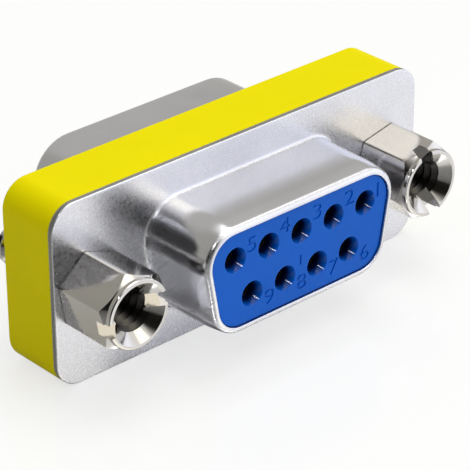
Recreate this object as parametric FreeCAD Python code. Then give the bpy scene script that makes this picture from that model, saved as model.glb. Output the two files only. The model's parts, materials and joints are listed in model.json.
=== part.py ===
import FreeCAD, Part
import math
import os

# Nine-way D-sub gender changer: sockets on the front, pins on the rear,
# a yellow two-part band between the two metal flanges, and two hexagonal
# jackscrews that pass right through. Millimetres. X runs along the flange,
# -Y points out of the socket side, +Y out of the pin side and +Z is up.
# The origin is the middle of the face that the part stands on.

os.makedirs("parts", exist_ok=True)
Vector = FreeCAD.Vector

# Body
flange_corner = 1.8
body_depth = 4.8
sheet = 0.4
band_lip = 0.45
seam_chamfer = 0.12

# Metal shells
side_angle = 10.0
shell_corner = 2.5
socket_shell_width = 16.33
socket_shell_height = 7.90
socket_shell_reach = 5.45
socket_lip_inset = 0.25
mating_gap_across = 0.295
mating_gap_up = 0.23
plug_shell_reach = 5.6
socket_base_round = 0.25
plug_base_bevel = 0.3
lip_bevel = 0.2
screw_offset = 4.33
screw_margin = 2.91
flange_ledge = 2.325

# Contact dimples pressed into the long sides of the plug shell
dimple_spacing = 3.7
dimple_width = 1.6
dimple_length = 3.6
dimple_depth = 0.1
dimple_slope = 0.25
dimple_setback = 0.45

# Space inside the band, and what lies in it
band_wall = 1.125
pocket_wall = 0.295
hollow_corner = 1.0
hollow_gap = 0.1
board_thickness = 1.6
plate_thickness = 0.65
mould_gap = 0.04
socket_face_recess = 0.15
plug_face_rise = 0.15

# Contacts
pitch = 2.77
row_spacing = 2.84
pin_radius = 0.508
pin_reach = 4.9
pin_tip = 0.25
pin_tip_bevel = 0.17
socket_bore_gap = 0.032
socket_wall = 0.21
socket_setback = 1.0
socket_depth_spare = 0.2
slit_width = 0.14
slit_length = 3.0
shoulder_side = 1.9
shoulder_length = 0.35
stem_radius = 0.7
stem_setback = 0.1
tail_side = 0.6
tail_gap = 0.08
tail_depth = 0.7
lead_in_radius = 0.87
lead_in_depth = 0.55
entry_gap = 0.1

# Jackscrews
screw_radius = 1.42
screw_gap = 0.08
shank_relief = 0.2
head_gap = 0.05
hexagon_across_flats = 4.75
hexagon_length = 4.05
hexagon_chamfer = 0.35
nose_radius = 2.32
nose_length = 0.35
tap_radius = 1.13
tap_depth = 4.1
mouth_radius = 2.05
slot_width = 1.0
slot_depth = 1.1
stud_reach = 3.3
stud_chamfer = 0.4
left_slot_angle = 10.0
right_slot_angle = 102.0

# Retaining clips
groove_radius = 0.95
clip_radius = 2.2
clip_thickness = 0.4
clip_opening = 1.7
clip_side_gap = 0.15
clip_edge_gap = 0.2
groove_side_gap = 0.03

# Sizes and places that follow
plug_cavity_width = socket_shell_width + 2 * mating_gap_across
plug_cavity_height = socket_shell_height + 2 * mating_gap_up
screw_spacing = socket_shell_width + 2 * screw_offset
flange_width = screw_spacing + 2 * screw_margin
flange_height = socket_shell_height + 2 * flange_ledge
hollow_width = screw_spacing - 2 * (clip_radius + clip_edge_gap + pocket_wall)
hollow_height = flange_height - 2 * band_wall
middle_height = flange_height / 2
front_face = -body_depth / 2
rear_face = body_depth / 2
front_inside = front_face + sheet
rear_inside = rear_face - sheet
board_front = -board_thickness / 2
board_rear = board_thickness / 2
socket_plate_end = front_inside + plate_thickness
plug_plate_end = rear_inside - plate_thickness
socket_lip = front_face - socket_shell_reach
plug_lip = rear_face + plug_shell_reach
socket_face = socket_lip + socket_face_recess
plug_face = rear_face + plug_face_rise
socket_mouth = socket_face + socket_setback
pin_shoulder_end = plug_plate_end + shoulder_length
stem_end = plug_face - stem_setback
pin_end = plug_face + pin_reach
socket_bore_radius = pin_radius + socket_bore_gap
socket_barrel_radius = socket_bore_radius + socket_wall
socket_bore_end = socket_face + pin_reach + socket_depth_spare
hole_radius = screw_radius + screw_gap
head_start = front_face - head_gap
clip_front = front_inside + clip_side_gap
clip_rear = clip_front + clip_thickness


def contact_places():
    """Number, x and z of each contact, seen from the socket side: 5 to 1 over 9 to 6."""
    places = []
    for number in range(1, 6):
        places.append((number, (3 - number) * pitch, row_spacing / 2))
    for number in range(6, 10):
        places.append((number, (7.5 - number) * pitch, -row_spacing / 2))
    return places


def rectangle_corners(width, height, radius):
    across = width / 2 - radius
    up = height / 2 - radius
    return [(across, up), (-across, up), (-across, -up), (across, -up)]


def d_corners(width, height, radius):
    """Corner centres of the D: wide side up, its flanks leaning in by the side angle."""
    up = height / 2 - radius
    across_top = width / 2 - radius
    across_bottom = across_top - 2 * up * math.tan(math.radians(side_angle))
    return [(across_top, up), (-across_top, up), (-across_bottom, -up), (across_bottom, -up)]


def rounded_face(corners, radius, y):
    """Flat face across the connector whose straight sides join arcs about the corner centres."""
    def at(centre, angle):
        across = centre[0] + radius * math.cos(angle)
        up = centre[1] + radius * math.sin(angle)
        return Vector(across, y, middle_height + up)

    count = len(corners)
    normals = []
    for i in range(count):
        start, end = corners[i], corners[(i + 1) % count]
        normals.append(math.atan2(end[1] - start[1], end[0] - start[0]) - math.pi / 2)
    edges = []
    for i in range(count):
        before, after = normals[i - 1], normals[i]
        while after < before:
            after += 2 * math.pi
        centre, following = corners[i], corners[(i + 1) % count]
        edges.append(Part.Arc(at(centre, before), at(centre, (before + after) / 2),
                              at(centre, after)).toShape())
        edges.append(Part.LineSegment(at(centre, after), at(following, after)).toShape())
    return Part.Face(Part.Wire(edges))


def rounded_block(corners, radius, y_start, y_end):
    return rounded_face(corners, radius, y_start).extrude(Vector(0, y_end - y_start, 0))


def drafted_block(corners, radius_start, radius_end, y_start, y_end):
    """Block between two outlines about the same corner centres, as a drawn wall leans."""
    wires = [rounded_face(corners, radius_start, y_start).OuterWire,
             rounded_face(corners, radius_end, y_end).OuterWire]
    return Part.makeLoft(wires, True, True)


def bar(side, y_start, y_end, x=0.0, z=0.0):
    """Square bar along Y."""
    return Part.makeBox(side, y_end - y_start, side,
                        Vector(x - side / 2, y_start, middle_height + z - side / 2))


def rod(radius, y_start, y_end, x=0.0, z=0.0):
    return Part.makeCylinder(radius, y_end - y_start, Vector(x, y_start, middle_height + z),
                             Vector(0, 1, 0))


def taper(radius_start, radius_end, y_start, y_end, x=0.0, z=0.0):
    return Part.makeCone(radius_start, radius_end, y_end - y_start,
                         Vector(x, y_start, middle_height + z), Vector(0, 1, 0))


def edges_on(shape, y, half_width):
    """Edges that lie in the plane y and stay within half_width of the middle."""
    found = []
    for edge in shape.Edges:
        box = edge.BoundBox
        flat = abs(box.YMin - y) < 1e-4 and abs(box.YMax - y) < 1e-4
        if flat and max(abs(box.XMin), abs(box.XMax)) < half_width:
            found.append(edge)
    return found


def raised_flange(corners, outer_radius, inset, flange, outer_face, lip):
    """The flange with the solid D on it, its lip bevelled, and the edges round its foot."""
    wall = drafted_block(corners, outer_radius, outer_radius - inset, outer_face, lip)
    shell = flange.fuse(wall).removeSplitter()
    half_width = max(corner[0] for corner in corners) + outer_radius + sheet
    shell = shell.makeChamfer(lip_bevel, edges_on(shell, lip, half_width))
    return shell, edges_on(shell, outer_face, half_width)


def hollowed(shell, inner_corners, inner_radius, inset, outer_face, inside, lip):
    """Opens the D right through and makes the two screw holes."""
    shell = shell.cut(drafted_block(inner_corners, inner_radius, inner_radius - inset,
                                    outer_face, lip))
    shell = shell.cut(rounded_block(inner_corners, inner_radius, inside, outer_face))
    for x in (-screw_spacing / 2, screw_spacing / 2):
        shell = shell.cut(rod(hole_radius, *sorted((inside, outer_face)), x=x))
    return shell


def front_shell():
    corners = d_corners(socket_shell_width, socket_shell_height, shell_corner)
    outline = rectangle_corners(flange_width, flange_height, flange_corner)
    flange = rounded_block(outline, flange_corner, front_face, front_inside)
    shell, foot = raised_flange(corners, shell_corner, socket_lip_inset, flange, front_face,
                                socket_lip)
    shell = shell.makeFillet(socket_base_round, foot)
    return hollowed(shell, corners, shell_corner - sheet, socket_lip_inset, front_face,
                    front_inside, socket_lip)


def rear_flange_block(gap, y_start, y_end):
    """The rear flange's outline, or with no gap the band's recess that holds it."""
    inset = band_lip + gap
    corner = flange_corner - inset
    outline = rectangle_corners(flange_width - 2 * inset, flange_height - 2 * inset, corner)
    return rounded_block(outline, corner, y_start, y_end)


def dimple(x, surface, inward):
    """Shallow flat-bottomed press mark that starts at a long side's surface height."""
    end = plug_lip - dimple_setback
    wires = []
    for inset, height in ((0, surface), (dimple_slope, surface + inward * dimple_depth)):
        half = dimple_width / 2 - inset
        corners = [(x - half, end - dimple_length + inset), (x + half, end - dimple_length + inset),
                   (x + half, end - inset), (x - half, end - inset)]
        points = [Vector(across, along, height) for across, along in corners]
        wires.append(Part.makePolygon(points + points[:1]))
    return Part.makeLoft(wires, True, True)


def rear_shell():
    """The plug's shell: three dimples on its wide side, two on its narrow side."""
    corners = d_corners(plug_cavity_width, plug_cavity_height, shell_corner)
    flange = rear_flange_block(mould_gap, rear_inside, rear_face)
    shell, foot = raised_flange(corners, shell_corner + sheet, 0.0, flange, rear_face, plug_lip)
    shell = shell.makeChamfer(plug_base_bevel, foot)
    shell = hollowed(shell, corners, shell_corner, 0.0, rear_face, rear_inside, plug_lip)
    for side, places in ((1, (-1, 0, 1)), (-1, (-0.5, 0.5))):
        inner = middle_height + side * plug_cavity_height / 2
        outer = inner + side * sheet
        for place in places:
            x = place * dimple_spacing
            shell = shell.fuse(dimple(x, inner, -side)).cut(dimple(x, outer, -side))
    return shell.removeSplitter()


def inner_block(y_start, y_end):
    """A rounded plate that drops into the hollow of the band."""
    width = hollow_width - 2 * hollow_gap
    height = hollow_height - 2 * hollow_gap
    return rounded_block(rectangle_corners(width, height, hollow_corner), hollow_corner,
                         y_start, y_end)


def socket_insulator_front():
    corners = d_corners(socket_shell_width, socket_shell_height, shell_corner)
    radius = shell_corner - sheet - mould_gap
    face_radius = radius - socket_lip_inset * (1 - socket_face_recess / socket_shell_reach)
    block = drafted_block(corners, radius, face_radius, front_face, socket_face)
    block = block.fuse(rounded_block(corners, radius, front_face, front_inside))
    block = block.fuse(inner_block(front_inside, socket_plate_end)).removeSplitter()
    entry_radius = pin_radius + entry_gap
    for _, x, z in contact_places():
        block = block.cut(taper(lead_in_radius, entry_radius, socket_face,
                                socket_face + lead_in_depth, x, z))
        block = block.cut(rod(entry_radius, socket_face + lead_in_depth, socket_mouth, x, z))
        block = block.cut(bar(2 * (socket_barrel_radius + mould_gap), socket_mouth,
                              socket_plate_end, x, z))
        block = block.cut(bar(shoulder_side + 2 * mould_gap, socket_plate_end - shoulder_length,
                              socket_plate_end, x, z))
    return block


def plug_insulator_front():
    corners = d_corners(plug_cavity_width, plug_cavity_height, shell_corner)
    block = rounded_block(corners, shell_corner - mould_gap, plug_plate_end, plug_face)
    block = block.fuse(inner_block(plug_plate_end, rear_inside)).removeSplitter()
    for _, x, z in contact_places():
        block = block.cut(rod(stem_radius + mould_gap, plug_plate_end, plug_face, x, z))
        block = block.cut(bar(shoulder_side + 2 * mould_gap, plug_plate_end, pin_shoulder_end,
                              x, z))
    return block


def tail_plate(y_start, y_end):
    """A plate across the hollow with a hole for each contact tail."""
    plate = inner_block(y_start, y_end)
    for _, x, z in contact_places():
        plate = plate.cut(bar(tail_side + 2 * tail_gap, y_start, y_end, x, z))
    return plate


def socket_contact(x, z):
    """Split barrel that grips the pin, a shoulder behind the insulator and a tail."""
    shoulder_start = socket_plate_end - shoulder_length
    contact = rod(socket_barrel_radius, socket_mouth, shoulder_start, x, z)
    contact = contact.fuse(bar(shoulder_side, shoulder_start, socket_plate_end, x, z))
    contact = contact.fuse(bar(tail_side, socket_plate_end, board_front + tail_depth, x, z))
    contact = contact.cut(rod(socket_bore_radius, socket_mouth, socket_bore_end, x, z))
    slit = Part.makeBox(2 * socket_barrel_radius, slit_length, slit_width,
                        Vector(x - socket_barrel_radius, socket_mouth,
                               middle_height + z - slit_width / 2))
    return contact.cut(slit)


def pin_contact(x, z):
    """Round pin on a thicker stem, with a shoulder and a tail as on the socket."""
    contact = bar(tail_side, board_rear - tail_depth, plug_plate_end, x, z)
    contact = contact.fuse(bar(shoulder_side, plug_plate_end, pin_shoulder_end, x, z))
    contact = contact.fuse(rod(stem_radius, pin_shoulder_end, stem_end, x, z))
    contact = contact.fuse(rod(pin_radius, stem_end, pin_end - pin_tip, x, z))
    return contact.fuse(taper(pin_radius, pin_radius - pin_tip_bevel, pin_end - pin_tip,
                              pin_end, x, z))


def band():
    """The whole yellow band, before it is parted at mid-height."""
    outline = rectangle_corners(flange_width, flange_height, flange_corner)
    body = rounded_block(outline, flange_corner, front_inside, rear_face)
    body = body.cut(rear_flange_block(0, rear_inside, rear_face))
    hollow = rectangle_corners(hollow_width, hollow_height, hollow_corner)
    body = body.cut(rounded_block(hollow, hollow_corner, front_inside, rear_inside))
    pocket_end = clip_rear + clip_side_gap
    for x in (-screw_spacing / 2, screw_spacing / 2):
        body = body.cut(rod(hole_radius, front_inside, rear_inside, x))
        body = body.cut(rod(clip_radius + clip_edge_gap, front_inside, pocket_end, x))
    return body


def band_half(upper):
    low = middle_height if upper else 0.0
    slab = Part.makeBox(flange_width, body_depth, middle_height,
                        Vector(-flange_width / 2, front_face, low))
    half = band().common(slab)
    seams = []
    for edge in half.Edges:
        box = edge.BoundBox
        level = abs(box.ZMin - middle_height) < 1e-4 and abs(box.ZMax - middle_height) < 1e-4
        if level and min(abs(box.XMin), abs(box.XMax)) > flange_width / 2 - 1e-4:
            seams.append(edge)
    return half.makeChamfer(seam_chamfer, seams)


def hexagon_bar(y_start, y_end):
    corner = hexagon_across_flats / math.sqrt(3)
    points = []
    for i in range(7):
        angle = math.radians(30 + 60 * i)
        points.append(Vector(corner * math.cos(angle), y_start,
                             middle_height + corner * math.sin(angle)))
    return Part.Face(Part.makePolygon(points)).extrude(Vector(0, y_end - y_start, 0))


def jackscrew(x, slot_angle):
    """Hexagonal screw with a slotted, tapped nose in front and a long screw behind."""
    corner = hexagon_across_flats / math.sqrt(3)
    hexagon_end = head_start - hexagon_length
    nose_end = hexagon_end - nose_length
    turned = rod(corner, hexagon_end + hexagon_chamfer, head_start)
    turned = turned.fuse(taper(nose_radius, corner, hexagon_end, hexagon_end + hexagon_chamfer))
    screw = hexagon_bar(hexagon_end, head_start).common(turned)
    screw = screw.fuse(rod(nose_radius, nose_end, hexagon_end))
    stud_end = rear_face + stud_reach
    shank_radius = screw_radius - shank_relief
    screw = screw.fuse(rod(shank_radius, head_start, rear_face))
    screw = screw.fuse(rod(screw_radius, rear_face, stud_end - stud_chamfer))
    screw = screw.fuse(taper(screw_radius, screw_radius - stud_chamfer,
                             stud_end - stud_chamfer, stud_end))
    screw = screw.cut(rod(tap_radius, nose_end, nose_end + tap_depth))
    screw = screw.cut(taper(mouth_radius, tap_radius, nose_end,
                            nose_end + mouth_radius - tap_radius))
    slot = Part.makeBox(4 * nose_radius, slot_depth, slot_width,
                        Vector(-2 * nose_radius, nose_end, middle_height - slot_width / 2))
    screw = screw.cut(slot)
    groove = rod(screw_radius, clip_front - groove_side_gap, clip_rear + groove_side_gap)
    groove = groove.cut(rod(groove_radius, clip_front - groove_side_gap,
                            clip_rear + groove_side_gap))
    screw = screw.cut(groove).removeSplitter()
    screw.rotate(Vector(0, 0, middle_height), Vector(0, -1, 0), slot_angle)
    screw.translate(Vector(x, 0, 0))
    return screw


def retaining_clip(x):
    """C-shaped clip in the screw's groove, open at the top."""
    clip = rod(clip_radius, clip_front, clip_rear, x).cut(
        rod(groove_radius, clip_front, clip_rear, x))
    opening = Part.makeBox(clip_opening, clip_thickness, clip_radius,
                           Vector(x - clip_opening / 2, clip_front, middle_height))
    return clip.cut(opening)


def export(shape, node):
    shape.exportStep("parts/" + node + ".step")
    print(node, len(shape.Solids), "solid", round(shape.Volume, 3), "mm3")


export(front_shell(), "front_shell")
export(rear_shell(), "rear_shell")
export(socket_insulator_front(), "socket_insulator_front")
export(tail_plate(socket_plate_end, board_front), "socket_insulator_back")
export(plug_insulator_front(), "plug_insulator_front")
export(tail_plate(board_rear, plug_plate_end), "plug_insulator_back")
export(tail_plate(board_front, board_rear), "circuit_board")
export(band_half(True), "band_upper")
export(band_half(False), "band_lower")
for number, x, z in contact_places():
    export(socket_contact(x, z), "socket_contact_" + str(number))
    export(pin_contact(x, z), "pin_contact_" + str(number))
for side, x, angle in (("left", -screw_spacing / 2, left_slot_angle),
                       ("right", screw_spacing / 2, right_slot_angle)):
    export(jackscrew(x, angle), "jackscrew_" + side)
    export(retaining_clip(x), "retaining_clip_" + side)
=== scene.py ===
# %% [markdown]
# # A nine-way D-sub gender changer
# This lesson dresses a small connector adapter for a studio portrait. The part itself, with its
# sizes, joints and bodies, comes packed. Here it gets its finishes, and its visible pieces are
# made again as smooth meshes: drawn steel shells, moulded plastic and two threaded jackscrews.
# Everything is worked out in millimetres and shrunk to metres as each piece is finished.

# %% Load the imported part
import json
import math
import bmesh
import bpy
from mathutils import Matrix, Vector


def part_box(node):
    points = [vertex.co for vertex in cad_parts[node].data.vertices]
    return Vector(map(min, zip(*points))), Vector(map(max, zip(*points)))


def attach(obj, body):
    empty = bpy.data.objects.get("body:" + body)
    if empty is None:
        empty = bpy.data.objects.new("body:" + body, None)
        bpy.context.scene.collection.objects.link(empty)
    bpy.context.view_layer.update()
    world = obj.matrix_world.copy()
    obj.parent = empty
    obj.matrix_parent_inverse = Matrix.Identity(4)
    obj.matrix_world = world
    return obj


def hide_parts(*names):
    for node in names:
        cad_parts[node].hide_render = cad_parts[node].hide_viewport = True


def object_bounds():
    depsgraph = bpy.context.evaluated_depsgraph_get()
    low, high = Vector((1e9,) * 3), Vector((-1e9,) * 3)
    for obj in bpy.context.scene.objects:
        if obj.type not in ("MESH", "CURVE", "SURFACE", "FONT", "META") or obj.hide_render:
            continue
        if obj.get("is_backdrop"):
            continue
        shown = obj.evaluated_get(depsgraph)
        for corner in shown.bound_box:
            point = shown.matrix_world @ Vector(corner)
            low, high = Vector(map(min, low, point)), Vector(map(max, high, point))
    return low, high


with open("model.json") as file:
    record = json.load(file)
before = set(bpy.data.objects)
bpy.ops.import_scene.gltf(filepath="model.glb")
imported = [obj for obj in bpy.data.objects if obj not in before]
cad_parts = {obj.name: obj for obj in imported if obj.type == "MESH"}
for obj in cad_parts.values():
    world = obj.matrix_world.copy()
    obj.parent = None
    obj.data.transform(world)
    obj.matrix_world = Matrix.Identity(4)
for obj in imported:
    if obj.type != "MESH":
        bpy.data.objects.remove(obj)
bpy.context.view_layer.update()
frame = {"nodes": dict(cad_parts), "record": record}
MM = 0.001


# %% [markdown]
# ## Where things are
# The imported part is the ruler. The boxes of its nodes give every place along the connector, so a
# piece made here lands on the solid that it stands for. Only the sizes that a box can't show, such
# as corner radii and the thickness of the sheet, are written down.

# %% Read the places from the frame
def box_mm(node):
    """Lowest and highest corner of a node, in millimetres."""
    low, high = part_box(node)
    return low / MM, high / MM


def mount_radius(name):
    """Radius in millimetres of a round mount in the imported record."""
    found = [mount for mount in frame["record"]["mounts"] if mount["name"] == name]
    return found[0]["dims"]["r_mm"]


sheet = 0.4
front_low, front_high = box_mm("front_shell")
rear_low, rear_high = box_mm("rear_shell")
flange_width, flange_height = 2 * front_high.x, front_high.z
middle = flange_height / 2
socket_lip, front_inside = front_low.y, front_high.y
front_face = front_inside - sheet
plug_lip, rear_inside = rear_high.y, rear_low.y
rear_face = rear_inside + sheet
contacts = {}
for number in range(1, 10):
    low, high = box_mm(f"pin_contact_{number}")
    contacts[number] = ((low.x + high.x) / 2, (low.z + high.z) / 2)
screw_places = {}
for side in ("left", "right"):
    low, high = box_mm(f"jackscrew_{side}")
    screw_places[side] = (low.x + high.x) / 2
print(f"flange {flange_width:.2f} by {flange_height:.2f} mm, screws at {screw_places}")

# %% Sizes that the boxes don't show
flange_corner = 1.8
band_lip = 0.45
mould_gap = 0.04
socket_width, socket_height = 16.33, 7.90
plug_width, plug_height = 16.92, 8.36
shell_corner = 2.5
side_angle = math.radians(10)
socket_lip_inset = 0.25
hollow_width, hollow_height, hollow_corner = 19.6, 10.3, 1.0
hollow_gap = 0.1
screw_hole = 1.5
edge_round = 0.06
face_step = 0.15
socket_face = socket_lip + face_step
plug_face = rear_face + face_step
print(f"blue faces at {socket_face:.2f} and {plug_face:.2f} mm")


# %% [markdown]
# ## Outlines with round corners
# The flange, the band and both D-shaped shells share one idea: a section is carried round a closed
# outline, turning about a centre at each corner and running straight in between. A die works the
# sheet in the same way. A spin makes the corners and an extrusion makes the runs, so each arc is a
# true arc, whatever the corner's angle. The D's flanks lean in by ten degrees.

# %% Corner centres of the outlines
def rectangle(width, height, radius, x=0.0, z=middle):
    """Corner centres of an upright rectangle, from the upper right one towards the left."""
    across, up = width / 2 - radius, height / 2 - radius
    return [Vector((x + side * across, 0, z + level * up))
            for side, level in ((1, 1), (-1, 1), (-1, -1), (1, -1))]


def d_shape(width, height, radius):
    """Corner centres of a D whose wide side is up."""
    up = height / 2 - radius
    top = width / 2 - radius
    bottom = top - 2 * up * math.tan(side_angle)
    return [Vector((across, 0, middle + level * up))
            for across, level in ((top, 1), (-top, 1), (-bottom, -1), (bottom, -1))]


# %% Draw a section with its corners rounded
weld_distance = 1e-4
level_slack = 1e-3
big_round = 3 * edge_round
big_round_steps, small_round_steps = 8, 3


def draw_section(bm, section, centre, angle):
    """Section points are (distance from the centre, y, rounding of that corner)."""
    outward = Vector((math.cos(angle), 0, math.sin(angle)))
    verts = []
    for distance, y, _ in section:
        verts.append(bm.verts.new(centre + outward * distance + Vector((0, y, 0))))
    for pair in zip(verts, verts[1:]):
        bm.edges.new(pair)
    for i, (_, _, rounding) in enumerate(section):
        if not rounding:
            continue
        before = (verts[i].co - verts[i - 1].co).normalized()
        after = (verts[i + 1].co - verts[i].co).normalized()
        tangent = rounding * math.tan(before.angle(after) / 2)
        if tangent < level_slack:
            continue
        steps = big_round_steps if rounding > big_round else small_round_steps
        bevelled = bmesh.ops.bevel(bm, geom=[verts[i]], offset=tangent, offset_type="OFFSET",
                                   segments=steps, profile=0.5, affect="VERTICES", material=-1)
        verts[i] = min(bevelled["verts"], key=lambda v: (v.co - verts[i + 1].co).length)


# %% Carry a section round an outline or a centre
def heading(start, end):
    """Angle of the outward side between two corner centres, from +X towards +Z."""
    run = end - start
    return math.atan2(run.z, run.x) - math.pi / 2


def swept(section, corners, steps=12):
    """The section carried once round the outline."""
    bm = bmesh.new()
    angle = heading(corners[-1], corners[0])
    draw_section(bm, section, corners[0], angle)
    moving = bm.verts[:] + bm.edges[:]
    for i, centre in enumerate(corners):
        following = corners[(i + 1) % len(corners)]
        turn = (heading(centre, following) - angle) % (2 * math.pi)
        angle += turn
        spun = bmesh.ops.spin(bm, geom=moving, cent=centre, axis=(0, -1, 0), dvec=(0, 0, 0),
                              angle=turn, steps=steps, use_merge=False, use_duplicate=False)
        edges = [item for item in spun["geom_last"] if isinstance(item, bmesh.types.BMEdge)]
        run = bmesh.ops.extrude_edge_only(bm, edges=edges)["geom"]
        verts = [item for item in run if isinstance(item, bmesh.types.BMVert)]
        bmesh.ops.translate(bm, verts=verts, vec=following - centre)
        moving = verts + [item for item in run if isinstance(item, bmesh.types.BMEdge)]
    bmesh.ops.remove_doubles(bm, verts=bm.verts, dist=weld_distance)
    return bm


def turned(section, x, z, steps=48):
    """The section turned about an axis along Y, as on a lathe."""
    bm = bmesh.new()
    centre = Vector((x, 0, z))
    draw_section(bm, section, centre, 0.0)
    bmesh.ops.spin(bm, geom=bm.verts[:] + bm.edges[:], cent=centre, axis=(0, -1, 0),
                   dvec=(0, 0, 0), angle=2 * math.pi, steps=steps, use_merge=True,
                   use_duplicate=False)
    bmesh.ops.remove_doubles(bm, verts=bm.verts, dist=weld_distance)
    return bm


# %% [markdown]
# ## From walls to a closed piece
# Swept and turned walls end in open rims. Rims that lie in one plane bound one flat face with its
# holes, so the flat faces are filled last, plane by plane. The normals are then turned outward,
# and a weighted normal keeps the flats flat beside their small round edges.

# %% Join walls and fill the flats
def joined(walls):
    """One mesh of all the walls, which are used up."""
    bm = bmesh.new()
    for wall in walls:
        mesh = bpy.data.meshes.new("wall")
        wall.to_mesh(mesh)
        wall.free()
        bm.from_mesh(mesh)
        bpy.data.meshes.remove(mesh)
    return bm


def rims_at(bm, axis, level):
    """Open edges that lie in one plane across the axis."""
    return [edge for edge in bm.edges
            if edge.is_boundary and all(abs(v.co[axis] - level) < level_slack for v in edge.verts)]


def fill_flats(bm, levels):
    """Closes the open rims at each distance along the connector."""
    for level in levels:
        bmesh.ops.triangle_fill(bm, use_beauty=True, use_dissolve=False,
                                edges=rims_at(bm, 1, level), normal=(0, 1, 0))
    return bm


def welded(bm):
    """Joins doubled points and turns every face outward."""
    bmesh.ops.remove_doubles(bm, verts=bm.verts, dist=weld_distance)
    bmesh.ops.recalc_face_normals(bm, faces=bm.faces)
    return bm


# %% Finish a piece
scene = bpy.context.scene


def in_scene(name, data):
    """A new object of that data, linked to the scene."""
    item = bpy.data.objects.new(name, data)
    scene.collection.objects.link(item)
    return item


def finish_piece(bm, name, material, body, nodes, sharp=40):
    """Millimetres become metres, and the piece takes the place of its nodes."""
    welded(bm)
    open_edges = sum(1 for edge in bm.edges if not edge.is_manifold)
    bmesh.ops.scale(bm, vec=(MM, MM, MM), verts=bm.verts)
    for face in bm.faces:
        face.smooth = True
    mesh = bpy.data.meshes.new(name)
    bm.to_mesh(mesh)
    bm.free()
    mesh.set_sharp_from_angle(angle=math.radians(sharp))
    mesh.materials.append(material)
    piece = in_scene(name, mesh)
    weighted = piece.modifiers.new("flat faces stay flat", "WEIGHTED_NORMAL")
    weighted.weight = 100
    weighted.keep_sharp = True
    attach(piece, body)
    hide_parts(*nodes)
    print(f"{name}: {len(mesh.polygons)} faces, {open_edges} open edges")
    return piece


# %% [markdown]
# ## Shared surface effects
# Two effects come back on nearly every finish, so each is a node group with its own knobs. Fine
# grain is the tiny unevenness of plating or a mould's skin. Drift is the slow change of tone
# over a few millimetres that keeps a flat face from looking printed. Two more groups are masks:
# one tells the walls that a die has polished, and one tells how deep in a contact hole a point
# lies, so that painted shade can darken the hole with depth.
# All read object coordinates, so the pattern stays on the piece.

# %% Place nodes and join them
def feed(tree, node, values):
    """Each named socket gets a plain value, or is joined to another node's output."""
    for socket, value in values.items():
        if isinstance(value, bpy.types.NodeSocket):
            tree.links.new(value, node.inputs[socket])
        else:
            node.inputs[socket].default_value = value


def add_node(tree, kind, values=None, **settings):
    """A new node with its settings, fed with the values."""
    node = tree.nodes.new(kind)
    for setting, choice in settings.items():
        setattr(node, setting, choice)
    feed(tree, node, values or {})
    return node


def new_material(name):
    """A material with its node tree and its shader."""
    material = bpy.data.materials.new(name)
    material.use_nodes = True
    return material, material.node_tree, material.node_tree.nodes["Principled BSDF"]


def effect_tree(name, knobs=()):
    """An empty effect with its knobs, which puts out one value."""
    tree = bpy.data.node_groups.new(name, "ShaderNodeTree")
    for knob, default in knobs:
        socket = tree.interface.new_socket(knob, in_out="INPUT", socket_type="NodeSocketFloat")
        socket.default_value = default
    tree.interface.new_socket("Value", in_out="OUTPUT", socket_type="NodeSocketFloat")
    return tree, tree.nodes.new("NodeGroupOutput").inputs["Value"]


def distance_along(tree):
    """How far along the connector the shaded point lies, from the body's middle."""
    place = add_node(tree, "ShaderNodeTexCoord").outputs["Object"]
    return add_node(tree, "ShaderNodeSeparateXYZ", {"Vector": place}).outputs["Y"]


# %% Build the effect groups
hole_shade_depth = 0.5
polish_past_flange = (2.45, 3.2)
polish_before_lip = (7.8, 7.3)


def noise_group(name, scale, detail, roughness):
    """Noise about the middle, with its size and strength as knobs."""
    tree, out = effect_tree(name, [("Scale", scale), ("Strength", 0.5), ("Middle", 0.5)])
    knobs = add_node(tree, "NodeGroupInput").outputs
    place = add_node(tree, "ShaderNodeTexCoord").outputs["Object"]
    noise = add_node(tree, "ShaderNodeTexNoise", {"Vector": place, "Scale": knobs["Scale"],
                                                  "Detail": detail, "Roughness": roughness})
    centred = add_node(tree, "ShaderNodeMath", {0: noise.outputs["Fac"], 1: 0.5},
                       operation="SUBTRACT")
    spread = add_node(tree, "ShaderNodeMath", {0: centred.outputs[0], 1: knobs["Strength"],
                                               2: knobs["Middle"]}, operation="MULTIPLY_ADD")
    tree.links.new(spread.outputs[0], out)
    return tree


def hole_depth_group():
    """Mask for painted shade in a contact hole: 0 at its rim, 1 near the end of its cone."""
    tree, out = effect_tree("hole_shade_mask")
    ramp = add_node(tree, "ShaderNodeMapRange",
                    {"Value": distance_along(tree), "From Min": socket_face * MM,
                     "From Max": (socket_face + hole_shade_depth) * MM})
    tree.links.new(ramp.outputs["Result"], out)
    return tree


def drawn_wall_group():
    """1 on the drawn walls of both shells, 0 on flanges and lips."""
    tree, out = effect_tree("drawn_wall")
    away = add_node(tree, "ShaderNodeMath", {0: distance_along(tree)}, operation="ABSOLUTE")
    both = add_node(tree, "ShaderNodeMath", operation="MULTIPLY")
    for i, (dull_at, polished_at) in enumerate((polish_past_flange, polish_before_lip)):
        ramp = add_node(tree, "ShaderNodeMapRange",
                        {"Value": away.outputs[0], "From Min": dull_at * MM,
                         "From Max": polished_at * MM}, interpolation_type="SMOOTHSTEP")
        feed(tree, both, {i: ramp.outputs["Result"]})
    tree.links.new(both.outputs[0], out)
    return tree


fine_grain = noise_group("fine_grain", scale=6000.0, detail=3.0, roughness=0.6)
drift = noise_group("drift", scale=250.0, detail=2.0, roughness=0.5)
drawn_wall = drawn_wall_group()
hole_shade_mask = hole_depth_group()
print("effect groups:", [tree.name for tree in (fine_grain, drift, drawn_wall, hole_shade_mask)])
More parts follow.
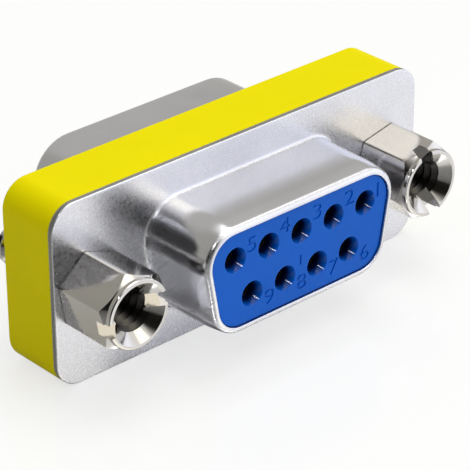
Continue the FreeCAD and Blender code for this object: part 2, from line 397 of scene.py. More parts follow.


# %% [markdown]
# ## Finishes
# Each finish is a Principled shader whose roughness wanders with the grain, whose colour wanders
# with the drift, and whose bump comes from the grain. Metal gets its look from what it mirrors,
# so its colour stays near that of the plating. A drawn wall may be more polished than the rest,
# and a moulded hole may get painted shade that darkens its colour with depth, each by its mask.

# %% A finish from a few numbers
def finish(name, colour, roughness, metallic=0.0, grain=6000.0, bump=0.05, bump_size=0.00001,
           roughness_spread=0.1, tone_spread=0.1, specular=0.5, polished=None, painted_hole_shade=None):
    """Polished is the roughness of drawn walls; the last argument is the colour of painted shade deep
    in a hole.
    """
    material, tree, shader = new_material(name)

    def effect(group, **knobs):
        return add_node(tree, "ShaderNodeGroup", knobs, node_tree=group).outputs["Value"]

    dull = effect(fine_grain, Scale=grain / 3, Strength=roughness_spread, Middle=roughness)
    if polished:
        blend = add_node(tree, "ShaderNodeMix",
                         {"Factor": effect(drawn_wall), "A": dull, "B": polished})
        dull = blend.outputs["Result"]
    darker = [c * (1 - tone_spread) for c in colour]
    lighter = [min(1, c * (1 + tone_spread)) for c in colour]
    tone = add_node(tree, "ShaderNodeMix",
                    {"Factor": effect(drift, Strength=2.0), "A": (*darker, 1), "B": (*lighter, 1)},
                    data_type="RGBA")
    shade = tone.outputs["Result"]
    # Painted shade: the colour goes towards the deep colour as the point lies deeper in a hole.
    if painted_hole_shade:
        deepen = add_node(tree, "ShaderNodeMix",
                          {"Factor": effect(hole_shade_mask), "A": shade, "B": (*painted_hole_shade, 1)},
                          data_type="RGBA")
        shade = deepen.outputs["Result"]
    height = add_node(tree, "ShaderNodeBump",
                      {"Strength": bump, "Distance": bump_size,
                       "Height": effect(fine_grain, Scale=grain, Strength=1.0)})
    feed(tree, shader, {"Base Color": shade, "Metallic": metallic, "Roughness": dull,
                        "Specular IOR Level": specular, "Normal": height.outputs["Normal"]})
    return material


# %% [markdown]
# The sheet is dull where it stays flat and has darker, rougher sheared edges. The tapped holes of
# the screws are made nearly black inside by painted shade, the cones of the contact holes are
# glossy and darken with depth by painted shade, the bores behind them are near-black by painted
# shade, and the sockets behind them have a thin flash of gold, painted dark for the shade deep in
# the holes. The pins are fully gilt.

# %% The finishes of this part
plated_steel = finish("plated_steel", (0.68, 0.685, 0.725), 0.28, metallic=1.0, grain=10000.0,
                      bump=1.0, bump_size=0.000006, roughness_spread=0.16, tone_spread=0.05,
                      polished=0.13)
sheared_steel = finish("sheared_steel", (0.26, 0.26, 0.25), 0.5, metallic=1.0, grain=9000.0,
                       bump=0.5, bump_size=0.00002, tone_spread=0.2)
nickel = finish("nickel", (0.59, 0.575, 0.555), 0.12, metallic=1.0, grain=3000.0, bump=0.06,
                roughness_spread=0.06, tone_spread=0.05)
# Nearly black metal inside the tapped bores of the screws: painted shade.
screw_bore_painted_shade = finish("screw_bore_painted_shade", (0.06, 0.058, 0.055), 0.25, metallic=1.0, grain=5000.0,
                      bump=0.2)
blue_plastic = finish("blue_plastic", (0.0, 0.108, 0.58), 0.38, grain=9000.0, bump=0.15,
                      tone_spread=0.04, specular=0.15)
# Glossy blue of the hole cones, with painted shade that darkens it towards near-black with depth.
cone_blue_painted_shade = finish("cone_blue_painted_shade", (0.0, 0.10, 0.55), 0.14, grain=9000.0, bump=0.02,
                   roughness_spread=0.04, tone_spread=0.04, specular=0.4, painted_hole_shade=(0.0, 0.005, 0.04))
# Near-black blue for the bores of the contact holes: painted shade.
bore_painted_shade = finish("bore_painted_shade", (0.0002, 0.006, 0.05), 0.35, grain=9000.0, bump=0.03,
                   tone_spread=0.04, specular=0.2)
yellow_plastic = finish("yellow_plastic", (0.70, 0.62, 0.0), 0.45, grain=8000.0, bump=0.15,
                        tone_spread=0.02, specular=0.02)
gold = finish("gold", (0.93, 0.70, 0.30), 0.18, metallic=1.0)
# Flash gold of the socket contacts, darkened far below gold to stand for the shade deep in the holes:
# painted shade.
flash_gold_painted_shade = finish("flash_gold_painted_shade", (0.14, 0.10, 0.05), 0.6, metallic=1.0)
board_green = finish("board_green", (0.02, 0.17, 0.06), 0.5, grain=2500.0, bump=0.3,
                     bump_size=0.00002)
spring_steel = finish("spring_steel", (0.42, 0.42, 0.41), 0.35, metallic=1.0, bump=0.1,
                      bump_size=0.00002)

kinds = {"socket_contact": flash_gold_painted_shade, "circuit": board_green, "retaining": spring_steel,
         "socket_insulator": blue_plastic, "plug_insulator": blue_plastic}
for node_name, node_object in frame["nodes"].items():
    for start, material in kinds.items():
        if node_name.startswith(start):
            node_object.data.materials.clear()
            node_object.data.materials.append(material)
print("finishes:", sorted(material.name for material in bpy.data.materials))


# %% [markdown]
# ## The front shell
# One blank of plated sheet: a flat flange with the D drawn out of it. The section climbs from the
# flange round a small radius, runs out along a wall that leans in slightly, rolls over the lip and
# comes back inside one sheet thickness away. The faces of the flange's sheared edge get their own
# finish by their direction.

# %% Sections of a shell
lip_round = 0.36
ledge = 0.2
shoulder_setback, shoulder_share, shoulder_round = 1.3, 0.3, 6.0
edge_facing = 0.1


def rim(radius, face, back):
    """Section of a hole's edge through the sheet."""
    return [(radius + ledge, face, 0), (radius, face, edge_round), (radius, back, edge_round),
            (radius + ledge, back, 0)]


def flange_edge(corner, face, back):
    """Section of the flange's own edge."""
    return [(corner - ledge, face, 0), (corner, face, edge_round), (corner, back, edge_round),
            (corner - ledge, back, 0)]


def drawn_shell(d_corners, radius, inset, base_round, outline, corner, face, back, lip):
    """A flange with two screw holes and a D drawn from it, whose wall leans in by the inset."""
    shoulder = lip + math.copysign(shoulder_setback, face - lip)
    wall = [(radius + base_round + ledge, face, 0), (radius, face, base_round),
            (radius - shoulder_share * inset, shoulder, shoulder_round),
            (radius - inset, lip, lip_round), (radius - sheet - inset, lip, edge_round),
            (radius - sheet, face, 0), (radius - sheet, back, 0)]
    edge = swept(flange_edge(corner, face, back), outline)
    for side in edge.faces:
        side.material_index = int(abs(side.normal.y) < edge_facing)
    walls = [swept(wall, d_corners), edge]
    for x in screw_places.values():
        walls.append(turned(rim(screw_hole, face, back), x, middle))
    return fill_flats(joined(walls), (face, back))


# %% Draw the front shell
socket_base_round = 0.18
shell = drawn_shell(d_shape(socket_width, socket_height, shell_corner), shell_corner,
                    socket_lip_inset, socket_base_round,
                    rectangle(flange_width, flange_height, flange_corner), flange_corner,
                    front_face, front_inside, socket_lip)
front_shell = finish_piece(shell, "front_shell_drawn", plated_steel, "changer", ["front_shell"])
front_shell.data.materials.append(sheared_steel)


# %% [markdown]
# ## The rear shell
# The same kind of drawing, the other way out. Its flange sits in a recess of the band. The long
# sides carry small pressed dimples that touch the mating shell: the wall is cut along their
# outlines, and an inset with a depth pushes each patch in.

# %% Press a dimple
dimple_spacing, dimple_width, dimple_length = 3.7, 1.6, 3.6
dimple_depth, dimple_slope, dimple_setback = 0.1, 0.25, 0.45
dimple_end = plug_lip - dimple_setback
dimple_start = dimple_end - dimple_length


def press_dimple(bm, x, level, depth):
    """Pushes a patch of the long side at that height by depth, away from its outside."""
    cuts = [((x + side * dimple_width / 2, 0, 0), (1, 0, 0)) for side in (-1, 1)]
    cuts += [((0, y, 0), (0, 1, 0)) for y in (dimple_start, dimple_end)]
    for place, normal in cuts:
        wall = [face for face in bm.faces
                if all(abs(v.co.z - level) < level_slack for v in face.verts)]
        rims = dict.fromkeys(part for face in wall for part in (*face.edges, *face.verts))
        bmesh.ops.bisect_plane(bm, geom=wall + list(rims), plane_co=place, plane_no=normal)
    patch = []
    for face in bm.faces:
        spot = face.calc_center_median()
        if (abs(spot.z - level) < level_slack and abs(spot.x - x) < dimple_width / 2
                and dimple_start < spot.y < dimple_end):
            patch.append(face)
    bmesh.ops.inset_region(bm, faces=patch, thickness=dimple_slope, depth=depth,
                           use_even_offset=True)


# %% Draw the rear shell and press its dimples
plug_base_round, plug_lip_inset = 0.3, 0.0
rear_step = band_lip + mould_gap
rear_corner = flange_corner - band_lip - mould_gap
rear_outline = rectangle(flange_width - 2 * rear_step, flange_height - 2 * rear_step, rear_corner)
shell = drawn_shell(d_shape(plug_width, plug_height, shell_corner), shell_corner + sheet,
                    plug_lip_inset, plug_base_round, rear_outline, rear_corner, rear_face,
                    rear_inside, plug_lip)
welded(shell)
for side, places in ((1, (-1, 0, 1)), (-1, (-0.5, 0.5))):
    inner_level = middle + side * plug_height / 2
    for place in places:
        press_dimple(shell, place * dimple_spacing, inner_level + side * sheet, -dimple_depth)
        press_dimple(shell, place * dimple_spacing, inner_level, dimple_depth)
rear_shell = finish_piece(shell, "rear_shell_drawn", plated_steel, "changer", ["rear_shell"])
rear_shell.data.materials.append(sheared_steel)


# %% [markdown]
# ## The yellow band
# Two moulded halves clamp the insulators and the board, and meet at mid-height. The band is made
# whole, with its hollow, its screw holes and the pockets for the clips, and then cut in two.
# Each half gets its own cut faces, and the two end edges are chamfered, which makes the fine
# parting line.

# %% Mould the band and part it
clip_pocket, clip_room = 2.4, 0.15
clip_low, clip_high = box_mm("retaining_clip_left")
pocket_end = clip_high.y + clip_room
seam_chamfer = 0.12
band_edge = 0.09


def whole_band():
    """The band before it is parted, with its hollow and the two screw ways."""
    corner = flange_corner
    outside = [(corner - ledge, front_inside, 0), (corner, front_inside, edge_round),
               (corner, rear_face, band_edge), (corner - band_lip, rear_face, edge_round),
               (corner - band_lip, rear_inside, 0), (corner - band_lip - ledge, rear_inside, 0)]
    hollow = [(hollow_corner, front_inside, 0), (hollow_corner, rear_inside, 0)]
    screw_way = [(clip_pocket, front_inside, 0), (clip_pocket, pocket_end, 0),
                 (screw_hole, pocket_end, 0), (screw_hole, rear_inside, 0)]
    walls = [swept(outside, rectangle(flange_width, flange_height, corner)),
             swept(hollow, rectangle(hollow_width, hollow_height, hollow_corner))]
    for x in screw_places.values():
        walls.append(turned(screw_way, x, middle))
    return fill_flats(joined(walls), (front_inside, rear_inside))


def band_half(level):
    """The half above (1) or below (-1) the parting plane."""
    bm = whole_band()
    bmesh.ops.remove_doubles(bm, verts=bm.verts, dist=weld_distance)
    bmesh.ops.bisect_plane(bm, geom=bm.verts[:] + bm.edges[:] + bm.faces[:],
                           plane_co=(0, 0, middle), plane_no=(0, 0, level), clear_inner=True)
    bmesh.ops.holes_fill(bm, edges=rims_at(bm, 2, middle))
    end = flange_width / 2 - level_slack
    seams = [edge for edge in bm.edges
             if all(abs(v.co.z - middle) < level_slack and abs(v.co.x) > end for v in edge.verts)]
    bmesh.ops.bevel(bm, geom=seams, offset=seam_chamfer, offset_type="OFFSET", segments=1,
                    profile=0.5, affect="EDGES", material=-1)
    return bm


for half, level in (("upper", 1), ("lower", -1)):
    finish_piece(band_half(level), f"band_{half}_moulded", yellow_plastic, "changer",
                 [f"band_{half}"])


# %% [markdown]
# ## The insulators
# Blue mouldings hold the contacts. The front one fills the D to just behind its lip, and each of
# its nine holes opens with a cone that guides the pin in. Behind the skin, square cavities take
# the contacts, and a wide shoulder keeps the block from falling out of the shell.

# %% Places inside the insulators
lead_in_radius, lead_in_depth, lead_in_round = 0.87, 0.55, 0.03
entry_radius = 0.608
barrel_cavity, shoulder_cavity, cavity_corner = 1.58, 1.98, 0.04
shoulder_length = 0.35
hole_steps = 32
socket_mouth = box_mm("socket_contact_1")[0].y
socket_plate_end = box_mm("socket_insulator_back")[0].y
shoulder_start = socket_plate_end - shoulder_length
plug_plate_end = box_mm("plug_insulator_back")[1].y
print(f"barrels from {socket_mouth:.2f} mm, shoulders from {shoulder_start:.2f} mm")


# %% Mould the block of the socket
def square_wall(side, start, end, x, z):
    """Four walls about a contact, with small round corners."""
    return swept([(cavity_corner, start, 0), (cavity_corner, end, 0)],
                 rectangle(side, side, cavity_corner, x, z), steps=2)


def shoulder_wall(start, end):
    """The wide shoulder that drops into the band's hollow."""
    outline = rectangle(hollow_width - 2 * hollow_gap, hollow_height - 2 * hollow_gap,
                        hollow_corner)
    return swept([(hollow_corner, start, 0), (hollow_corner, end, 0)], outline)


def socket_insulator():
    """The front block with its shoulder, holes and cavities."""
    back = shell_corner - sheet - mould_gap
    front = back - socket_lip_inset * (1 - face_step / (front_face - socket_lip))
    block = [(front - ledge, socket_face, 0), (front, socket_face, edge_round),
             (back, front_face, 0), (back, front_inside, 0)]
    walls = [swept(block, d_shape(socket_width, socket_height, shell_corner)),
             shoulder_wall(front_inside, socket_plate_end)]
    hole = [(lead_in_radius + ledge / 2, socket_face, 0),
            (lead_in_radius, socket_face, lead_in_round),
            (entry_radius, socket_face + lead_in_depth, 0), (entry_radius, socket_mouth, 0)]
    for x, z in contacts.values():
        walls.append(turned(hole, x, z, hole_steps))
        walls.append(square_wall(barrel_cavity, socket_mouth, shoulder_start, x, z))
        walls.append(square_wall(shoulder_cavity, shoulder_start, socket_plate_end, x, z))
    levels = (socket_face, front_inside, socket_mouth, shoulder_start, socket_plate_end)
    return fill_flats(joined(walls), levels)


# %% Add or cut with another mesh
def combined(bm, tool, operation):
    """Adds or cuts one closed mesh with another."""
    stock = []
    for part in (bm, tool):
        mesh = bpy.data.meshes.new("stock")
        part.to_mesh(mesh)
        part.free()
        stock.append(in_scene("stock", mesh))
    step = stock[0].modifiers.new("machining", "BOOLEAN")
    step.operation = operation
    step.solver = "EXACT"
    step.object = stock[1]
    machined = stock[0].evaluated_get(bpy.context.evaluated_depsgraph_get())
    result = bmesh.new()
    result.from_mesh(machined.to_mesh())
    for item in stock:
        bpy.data.objects.remove(item)
    return result


# %% [markdown]
# ## Position numbers
# Small numbers beside the holes are sunk into the face. Each is set as text, turned into a mesh,
# stood upright against the face and cut out of the moulding. A short bar marks the middle.

# %% Make the stamps of the numbers
number_height, number_stretch, number_depth = 1.5, 1.25, 0.07
upper_beside, lower_beside = (1.35, 0.85), (1.40, -0.80)
end_beside = {1: (1.1, 0.5), 5: (1.35, 0.6)}
first_lower = 6
bar_width, bar_height = 0.11, 0.7
bar_x, bar_drop = -0.06, 0.6
cap_facing, sliver_area = 0.9, 1e-4


def number_stamp(text, x, z):
    """Closed mesh of a number that reaches through the socket face, without sliver faces."""
    curve = bpy.data.curves.new("number", "FONT")
    curve.body = text
    curve.size = number_height
    curve.extrude = number_depth
    curve.resolution_u = 4
    curve.align_x, curve.align_y = "CENTER", "CENTER"
    lettering = bpy.data.objects.new("number", curve)
    mesh = bpy.data.meshes.new_from_object(lettering)
    bpy.data.objects.remove(lettering)
    bm = bmesh.new()
    bm.from_mesh(mesh)
    bmesh.ops.remove_doubles(bm, verts=bm.verts, dist=weld_distance)
    caps = [face for face in bm.faces
            if abs(face.normal.z) > cap_facing or face.calc_area() < sliver_area]
    flips = [edge for edge in bm.edges if len(edge.link_faces) == 2
             and all(face in caps for face in edge.link_faces)]
    bmesh.ops.beautify_fill(bm, faces=caps, edges=flips, method="ANGLE")
    bmesh.ops.scale(bm, vec=(number_stretch, 1, 1), verts=bm.verts)
    bmesh.ops.rotate(bm, cent=(0, 0, 0), matrix=Matrix.Rotation(math.pi / 2, 3, "X"),
                     verts=bm.verts)
    bmesh.ops.translate(bm, vec=(x, socket_face, z), verts=bm.verts)
    return bm


def all_stamps():
    """The nine numbers and the bar in one mesh."""
    stamps = []
    for number, (x, z) in contacts.items():
        beside = upper_beside if number < first_lower else lower_beside
        beside = end_beside.get(number, beside)
        stamps.append(number_stamp(str(number), x + beside[0], z + beside[1]))
    bar = bmesh.new()
    bmesh.ops.create_cube(bar, size=1.0)
    bmesh.ops.scale(bar, vec=(bar_width, 2 * number_depth, bar_height), verts=bar.verts)
    bmesh.ops.translate(bar, vec=(bar_x, socket_face, middle - bar_drop), verts=bar.verts)
    return joined(stamps + [bar])


# %% [markdown]
# The numbers are cut out of the block. Then each face inside a hole gets the glossy blue of the
# cone, darkened with depth by painted shade, or the near-black blue of painted shade in the bore,
# by its distance from the hole's axis.

# %% Sink the numbers and paint shade into the holes
cone_start, bore_slack = 0.04, 0.02
moulding = combined(welded(socket_insulator()), all_stamps(), "DIFFERENCE")
insulator = finish_piece(moulding, "socket_insulator_moulded", blue_plastic, "changer",
                         ["socket_insulator_front"], sharp=23)
insulator.data.materials.append(cone_blue_painted_shade)
insulator.data.materials.append(bore_painted_shade)
# Cone faces get the blue with painted shade, and bore faces get the near-black of painted shade.
for face in insulator.data.polygons:
    spot = face.center / MM
    from_contact = min(math.hypot(spot.x - x, spot.z - z) for x, z in contacts.values())
    if spot.y > socket_face + cone_start and from_contact < lead_in_radius:
        face.material_index = 1 if from_contact > entry_radius + bore_slack else 2


# %% [markdown]
# ## The plug insulator
# The rear moulding fills the floor of the plug's D. Its nine holes are plain, and fit the thick
# stems of the pins. Square cavities behind them take the pins' shoulders.

# %% Mould the plug insulator
pin_radius = mount_radius("pin_1")
stem_radius, stem_rise, stem_hole_round = 0.7, 0.1, 0.02
stem_hole = stem_radius + mould_gap
pin_shoulder_end = plug_plate_end + shoulder_length


def plug_insulator():
    """The rear block with its shoulder, holes and cavities."""
    side = shell_corner - mould_gap
    block = [(side - ledge, plug_face, 0), (side, plug_face, edge_round), (side, rear_inside, 0)]
    walls = [swept(block, d_shape(plug_width, plug_height, shell_corner)),
             shoulder_wall(plug_plate_end, rear_inside)]
    hole = [(stem_hole + ledge / 2, plug_face, 0), (stem_hole, plug_face, stem_hole_round),
            (stem_hole, pin_shoulder_end, 0)]
    for x, z in contacts.values():
        walls.append(turned(hole, x, z, hole_steps))
        walls.append(square_wall(shoulder_cavity, pin_shoulder_end, plug_plate_end, x, z))
    levels = (plug_face, rear_inside, pin_shoulder_end, plug_plate_end)
    return fill_flats(joined(walls), levels)


finish_piece(plug_insulator(), "plug_insulator_moulded", blue_plastic, "changer",
             ["plug_insulator_front"])


# %% [markdown]
# ## The pins
# Each pin is turned with a rounded tip. A thicker stem carries it through the insulator, and ends
# in a square shoulder with a tail for the board.

# %% Turn the nine pins
pin_start, pin_end = (corner.y for corner in box_mm("pin_contact_1"))
tail_side, shoulder_side = 0.6, 1.9
stem_end, stem_round = plug_face - stem_rise, 0.04
tip_length, tip_round = 0.25, 0.3
tip_inset, tip_end_round, tip_flat = 0.17, 0.12, 0.02


def pin(x, z):
    """A pin with its stem, shoulder and tail."""
    shaft = [(stem_radius, pin_shoulder_end, 0), (stem_radius, stem_end, stem_round),
             (pin_radius, stem_end, 0), (pin_radius, pin_end - tip_length, tip_round),
             (pin_radius - tip_inset, pin_end, tip_end_round), (tip_flat, pin_end, 0)]
    walls = [turned(shaft, x, z, hole_steps),
             square_wall(shoulder_side, plug_plate_end, pin_shoulder_end, x, z),
             square_wall(tail_side, pin_start, plug_plate_end, x, z)]
    return fill_flats(joined(walls), (pin_end, pin_shoulder_end, plug_plate_end, pin_start))


for number, (x, z) in contacts.items():
    finish_piece(pin(x, z), f"pin_{number}_turned", gold, "changer", [f"pin_contact_{number}"])


# %% [markdown]
# ## The jackscrews
# A jackscrew is one turned bar: a hexagon to grip, a slotted and tapped nose that takes the
# mating plug's screw, and a threaded stud behind. It is turned with its groove first, and then
# tapped, threaded and slotted with exact booleans, because those cuts cross each other.

# %% Sizes of a jackscrew
head_low, head_high = box_mm("jackscrew_left")
nose_end, stud_end = head_low.y, head_high.y
across_flats, seat_gap = 4.75, 0.05
head_start = front_face - seat_gap
nose_length, hexagon_chamfer = 0.35, 0.35
hexagon_end = nose_end + nose_length
nose_radius, nose_round = 2.32, 0.1
mouth_radius, mouth_round = 2.05, 0.03
tap_radius, screw_radius = mount_radius("jackscrew_socket_left"), mount_radius("jackscrew_stud_left")
mouth_end = nose_end + mouth_radius - tap_radius
tap_start, tap_end = nose_end + 0.3, nose_end + 4.1
slot_width, slot_depth = 1.0, 1.1
slot_angles = {"left": math.radians(10), "right": math.radians(102)}
shank_radius, groove_radius, groove_room = 1.22, 0.95, 0.03
groove_front, groove_rear = clip_low.y - groove_room, clip_high.y + groove_room
stud_start, stud_chamfer = rear_face - 0.02, 0.4
stud_core_end = rear_face + 0.5
thread_pitch, thread_depth = 25.4 / 40, 0.34
print(f"screw from {nose_end:.2f} to {stud_end:.2f} mm, thread {screw_radius:.2f} mm in radius")


# %% [markdown]
# A thread is a small V carried along a helix by a spin that also moves forward, and cut square at
# both ends. It starts a little more than one turn before its end, so that the cut doesn't pass
# exactly through a row of its points.

# %% Cut a thread
thread_steps, thread_run_up = 40, 1.13
crest_start, crest_end = 0.44, 0.56


def threaded_rod(minor, major, start, end, chamfer=0.0):
    """Closed screw: a V carried along a helix, cut square at both ends."""
    bm = bmesh.new()
    turns = math.ceil((end - start) / thread_pitch) + 2
    y = start - thread_run_up * thread_pitch
    profile = ((minor, 0), (major, crest_start), (major, crest_end), (minor, 1))
    verts = [bm.verts.new((radius, y + share * thread_pitch, 0)) for radius, share in profile]
    edges = [bm.edges.new(pair) for pair in zip(verts, verts[1:])]
    bmesh.ops.spin(bm, geom=verts + edges, cent=(0, 0, 0), axis=(0, 1, 0),
                   dvec=(0, thread_pitch / thread_steps, 0), angle=2 * math.pi * turns,
                   steps=thread_steps * turns, use_merge=False, use_duplicate=False)
    bmesh.ops.remove_doubles(bm, verts=bm.verts, dist=weld_distance)
    for level, normal in ((start, -1), (end, 1)):
        bmesh.ops.bisect_plane(bm, geom=bm.verts[:] + bm.edges[:] + bm.faces[:],
                               plane_co=(0, level, 0), plane_no=(0, normal, 0), clear_outer=True)
    for vert in bm.verts:
        limit = major - max(0.0, vert.co.y - (end - chamfer))
        radius = math.hypot(vert.co.x, vert.co.z)
        if chamfer and radius > limit:
            vert.co.x *= limit / radius
            vert.co.z *= limit / radius
    fill_flats(bm, (start, end))
    bmesh.ops.recalc_face_normals(bm, faces=bm.faces)
    return bm


# %% [markdown]
# The hexagon starts as a six-sided circle whose sides are divided, so its front ring can follow
# the chamfer cone and show the true scalloped edge. A bridge joins that ring to the round nose.

# %% Turn the head and the shank
ring_steps = 60
side_cuts = 7


def hexagon_head():
    """Six sides whose front edge is cut by the chamfer cone."""
    bm = bmesh.new()
    corner = across_flats / math.sqrt(3)
    ring = bmesh.ops.create_circle(bm, cap_ends=False, radius=corner, segments=6,
                                   matrix=Matrix.Rotation(math.pi / 2, 4, "X"))
    bmesh.ops.bevel(bm, geom=ring["verts"], offset=2 * edge_round, offset_type="OFFSET", segments=2,
                    profile=0.5, affect="VERTICES", material=-1)
    sides = [edge for edge in bm.edges if edge.calc_length() > across_flats / 4]
    bmesh.ops.subdivide_edges(bm, edges=sides, cuts=side_cuts)
    bmesh.ops.translate(bm, verts=bm.verts, vec=(0, head_start, 0))
    front = bmesh.ops.extrude_edge_only(bm, edges=bm.edges[:])["geom"]
    slope = hexagon_chamfer / (corner - nose_radius)
    for vert in (item for item in front if isinstance(item, bmesh.types.BMVert)):
        radius = math.hypot(vert.co.x, vert.co.z)
        vert.co.y = hexagon_end + (radius - nose_radius) * slope
    front_edges = [item for item in front if isinstance(item, bmesh.types.BMEdge)]
    circle = bmesh.ops.create_circle(bm, cap_ends=False, radius=nose_radius, segments=ring_steps,
                                     matrix=Matrix.Translation((0, hexagon_end, 0))
                                     @ Matrix.Rotation(math.pi / 2, 4, "X"))
    circle_edges = dict.fromkeys(edge for vert in circle["verts"] for edge in vert.link_edges)
    bmesh.ops.bridge_loops(bm, edges=front_edges + list(circle_edges))
    return bm


def turned_bar():
    """The head with its nose, shank and groove, before threads and slot."""
    nose = [(nose_radius, hexagon_end, 0), (nose_radius, nose_end, nose_round),
            (mouth_radius, nose_end, mouth_round), (tap_radius, mouth_end, 0)]
    shank = [(shank_radius, head_start, 0), (shank_radius, groove_front, 0),
             (groove_radius, groove_front, 0), (groove_radius, groove_rear, 0),
             (shank_radius, groove_rear, 0), (shank_radius, rear_face, 0),
             (groove_radius, rear_face, 0), (groove_radius, stud_core_end, 0)]
    bar = joined([hexagon_head(), turned(nose, 0, 0, ring_steps), turned(shank, 0, 0, ring_steps)])
    return welded(fill_flats(bar, (head_start, mouth_end, stud_core_end)))


# %% Machine the jackscrew and set both in place
bore_start = nose_end + 0.6


def jackscrew():
    """The finished screw on the axis, with its slot lying across."""
    slot = bmesh.new()
    bmesh.ops.create_cube(slot, size=1.0)
    bmesh.ops.scale(slot, vec=(4 * nose_radius, 2 * slot_depth, slot_width), verts=slot.verts)
    bmesh.ops.translate(slot, verts=slot.verts, vec=(0, nose_end, 0))
    tap = threaded_rod(tap_radius, screw_radius, tap_start, tap_end)
    stud = threaded_rod(screw_radius - thread_depth, screw_radius, stud_start, stud_end,
                        stud_chamfer)
    screw = combined(turned_bar(), tap, "DIFFERENCE")
    screw = combined(screw, stud, "UNION")
    return combined(screw, slot, "DIFFERENCE")


screw_mesh = bpy.data.meshes.new("jackscrew_stock")
machined_screw = jackscrew()
machined_screw.to_mesh(screw_mesh)
machined_screw.free()
for side, x in screw_places.items():
    screw = bmesh.new()
    screw.from_mesh(screw_mesh)
    bmesh.ops.rotate(screw, cent=(0, 0, 0), matrix=Matrix.Rotation(-slot_angles[side], 3, "Y"),
                     verts=screw.verts)
    bmesh.ops.translate(screw, vec=(x, 0, middle), verts=screw.verts)
    piece = finish_piece(screw, f"jackscrew_{side}_threaded", nickel, f"{side}_jackscrew",
                         [f"jackscrew_{side}"], sharp=30)
    piece.data.materials.append(screw_bore_painted_shade)
    # Faces of the tapped bore inside the head get the nearly black metal of painted shade.
    for face in piece.data.polygons:
        spot = face.center / MM
        from_axis = math.hypot(spot.x - x, spot.z - middle)
        inside_head = bore_start < spot.y < front_face
        face.material_index = int(inside_head and from_axis < screw_radius + bore_slack)
bpy.data.meshes.remove(screw_mesh)


# %% [markdown]
# ## The camera
# The photograph's view: from the left of the socket side, well above the table, with a long lens.

# %% Set up the camera
view_azimuth, view_elevation, view_roll = (math.radians(a) for a in (-42.15, 28.62, -0.25))
view_distance, view_focal = 159.8, 2514.1
view_target = Vector((-0.772, -2.4, 5.576))
image_width = 470

back = Vector((math.sin(view_azimuth) * math.cos(view_elevation),
               -math.cos(view_azimuth) * math.cos(view_elevation), math.sin(view_elevation)))
camera_data = bpy.data.cameras.new("camera")
camera = in_scene("camera", camera_data)
scene.camera = camera
camera_data.sensor_width = 36.0
camera_data.lens = view_focal / image_width * camera_data.sensor_width
camera_data.clip_start, camera_data.clip_end = 0.01, 10.0
turn = (-back).to_track_quat("-Z", "Y").to_matrix().to_4x4()
camera.matrix_world = (Matrix.Translation((view_target + back * view_distance) * MM) @ turn
                       @ Matrix.Rotation(view_roll, 4, "Z"))
print(f"lens {camera_data.lens:.1f} mm")


# %% [markdown]
# ## The studio
# A pale glossy floor, a soft key overhead, and a narrow strip lamp on the left that draws the thin
# streaks in the contact holes. Bright metal only shows its shape by what it mirrors, so the floor
# has two faces: a veil of white glow for the lens, and a dull mirror of the room for the metal.

# %% Lay the floor
veil_share = 0.7
floor_reach, floor_drop = 0.6, 0.00002
floor_colour, mirror_colour = (0.86, 0.87, 0.86, 1), (0.9, 0.9, 0.9, 1)
white = (1, 1, 1, 1)


def floor_material():
    """Most of the floor is a white glow to the lens, and mirrors the room to the metal."""
    material, tree, shader = new_material("pale_floor")
    feed(tree, shader, {"Base Color": floor_colour, "Roughness": 0.16, "Specular IOR Level": 1.0})
    glow = add_node(tree, "ShaderNodeEmission", {"Color": white, "Strength": 1.0})
    mirror = add_node(tree, "ShaderNodeBsdfGlossy", {"Color": mirror_colour, "Roughness": 0.2})
    path = add_node(tree, "ShaderNodeLightPath").outputs
    veil = add_node(tree, "ShaderNodeMixShader",
                    {"Fac": path["Is Camera Ray"], 1: mirror.outputs["BSDF"],
                     2: glow.outputs["Emission"]})
    seen = add_node(tree, "ShaderNodeMath",
                    {0: path["Is Camera Ray"], 1: path["Is Glossy Ray"]}, operation="MAXIMUM")
    share = add_node(tree, "ShaderNodeMath", {0: seen.outputs[0], 1: veil_share},
                     operation="MULTIPLY")
    blend = add_node(tree, "ShaderNodeMixShader",
                     {"Fac": share.outputs[0], 1: shader.outputs["BSDF"], 2: veil.outputs["Shader"]})
    feed(tree, tree.nodes["Material Output"], {"Surface": blend.outputs["Shader"]})
    return material


floor_bm = bmesh.new()
bmesh.ops.create_grid(floor_bm, x_segments=1, y_segments=1, size=floor_reach)
bmesh.ops.translate(floor_bm, verts=floor_bm.verts, vec=(0, 0, -floor_drop))
floor_mesh = bpy.data.meshes.new("floor")
floor_bm.to_mesh(floor_mesh)
floor_bm.free()
floor_mesh.materials.append(floor_material())
floor = in_scene("floor", floor_mesh)
floor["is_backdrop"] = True
print(f"floor {floor.dimensions.x:.1f} m across")


# %% Hang the lamps
lamp_aim = Vector((0, 0, 0.006))


def soft_light(name, place, size, power, roll=0.0):
    """A soft rectangle of light above the object, turned by the roll about its own beam."""
    data = bpy.data.lights.new(name, "AREA")
    data.shape = "RECTANGLE"
    data.size, data.size_y = size
    data.energy = power
    lamp = in_scene(name, data)
    place = Vector(place)
    lamp.matrix_world = (Matrix.Translation(place)
                         @ (lamp_aim - place).to_track_quat("-Z", "Y").to_matrix().to_4x4()
                         @ Matrix.Rotation(roll, 4, "Z"))
    print(f"{name} lamp {(place - lamp_aim).length:.3f} m away")


soft_light("key", (0.06, 0.02, 0.24), (0.14, 0.14), 0.25)
soft_light("glint", (-0.118, -0.0735, 0.153), (0.042, 0.008), 0.06, roll=math.radians(-20))


# %% [markdown]
# The rest of the light is a room of soft panels, drawn on the world by direction: a wide one
# overhead, a cool one at the front right with a warm softbox above it, a paler wall at the back,
# and the dark of the room on the left. The lens sees the surroundings as plain white.

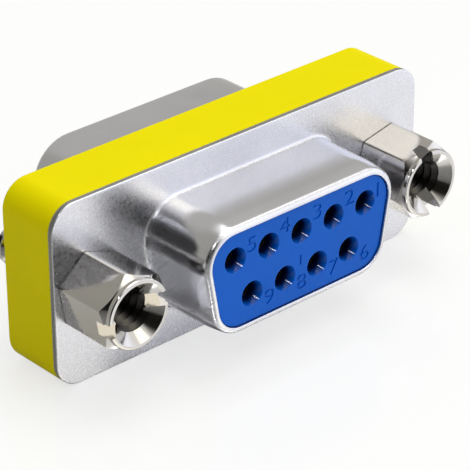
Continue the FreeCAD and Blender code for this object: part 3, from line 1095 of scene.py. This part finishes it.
# %% A panel of the room
def panel_group():
    """1 near the panel's middle, 0 beyond its edge. Edges are given as cosines."""
    tree, out = effect_tree("room_panel", [("Edge", 0.6), ("Full", 0.9)])
    tree.interface.new_socket("Towards", in_out="INPUT", socket_type="NodeSocketVector")
    knobs = add_node(tree, "NodeGroupInput").outputs
    place = add_node(tree, "ShaderNodeTexCoord").outputs["Generated"]
    near = add_node(tree, "ShaderNodeVectorMath", {0: place, 1: knobs["Towards"]},
                    operation="DOT_PRODUCT")
    fade = add_node(tree, "ShaderNodeMapRange",
                    {"Value": near.outputs["Value"], "From Min": knobs["Edge"],
                     "From Max": knobs["Full"]}, interpolation_type="SMOOTHSTEP")
    tree.links.new(fade.outputs["Result"], out)
    return tree


# %% [markdown]
# Each panel has a name, the direction of its middle, the angles from there at which it ends and
# at which it is at full light, and its light. Later panels lie over earlier ones.

# %% The world
wall_colour = (0.44, 0.43, 0.39)
panels = [("back wall", (0.40, 0.74, 0.54), 50, 32, (0.55, 0.53, 0.49)),
          ("front right", (0.70, -0.60, 0.40), 50, 28, (1.45, 1.48, 1.60)),
          ("overhead", (0.35, -0.25, 0.90), 50, 30, (1.15, 1.13, 1.10)),
          ("softbox", (0.30, -0.66, 0.69), 18, 9, (2.25, 2.15, 1.85)),
          ("dark left", (-0.82, -0.50, 0.30), 52, 37, (0.01, 0.01, 0.008))]

room_panel = panel_group()
world = bpy.data.worlds.new("studio")
scene.world = world
world.use_nodes = True
tree = world.node_tree
colour = (*wall_colour, 1)
for name, towards, edge, full, light in panels:
    knobs = {"Towards": Vector(towards).normalized(), "Edge": math.cos(math.radians(edge)),
             "Full": math.cos(math.radians(full))}
    panel = add_node(tree, "ShaderNodeGroup", knobs, node_tree=room_panel)
    mix = add_node(tree, "ShaderNodeMix",
                   {"Factor": panel.outputs["Value"], "A": colour, "B": (*light, 1)},
                   data_type="RGBA", label=name)
    colour = mix.outputs["Result"]
room = tree.nodes["Background"]
feed(tree, room, {"Color": colour, "Strength": 1.0})
backdrop = add_node(tree, "ShaderNodeBackground", {"Color": white, "Strength": 1.0})
path = add_node(tree, "ShaderNodeLightPath").outputs
choose = add_node(tree, "ShaderNodeMixShader",
                  {"Fac": path["Is Camera Ray"], 1: room.outputs["Background"],
                   2: backdrop.outputs["Background"]})
feed(tree, tree.nodes["World Output"], {"Surface": choose.outputs["Shader"]})
scene.view_settings.view_transform = "Standard"
print("panels:", [name for name, *_ in panels])


# %% [markdown]
# ## Measure
# The dressed part must fill the same box as the imported one, so its box is printed.

# %% Print the dressed box
low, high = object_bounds()
print("dressed box", [round(v / MM, 3) for v in (*low, *high)])
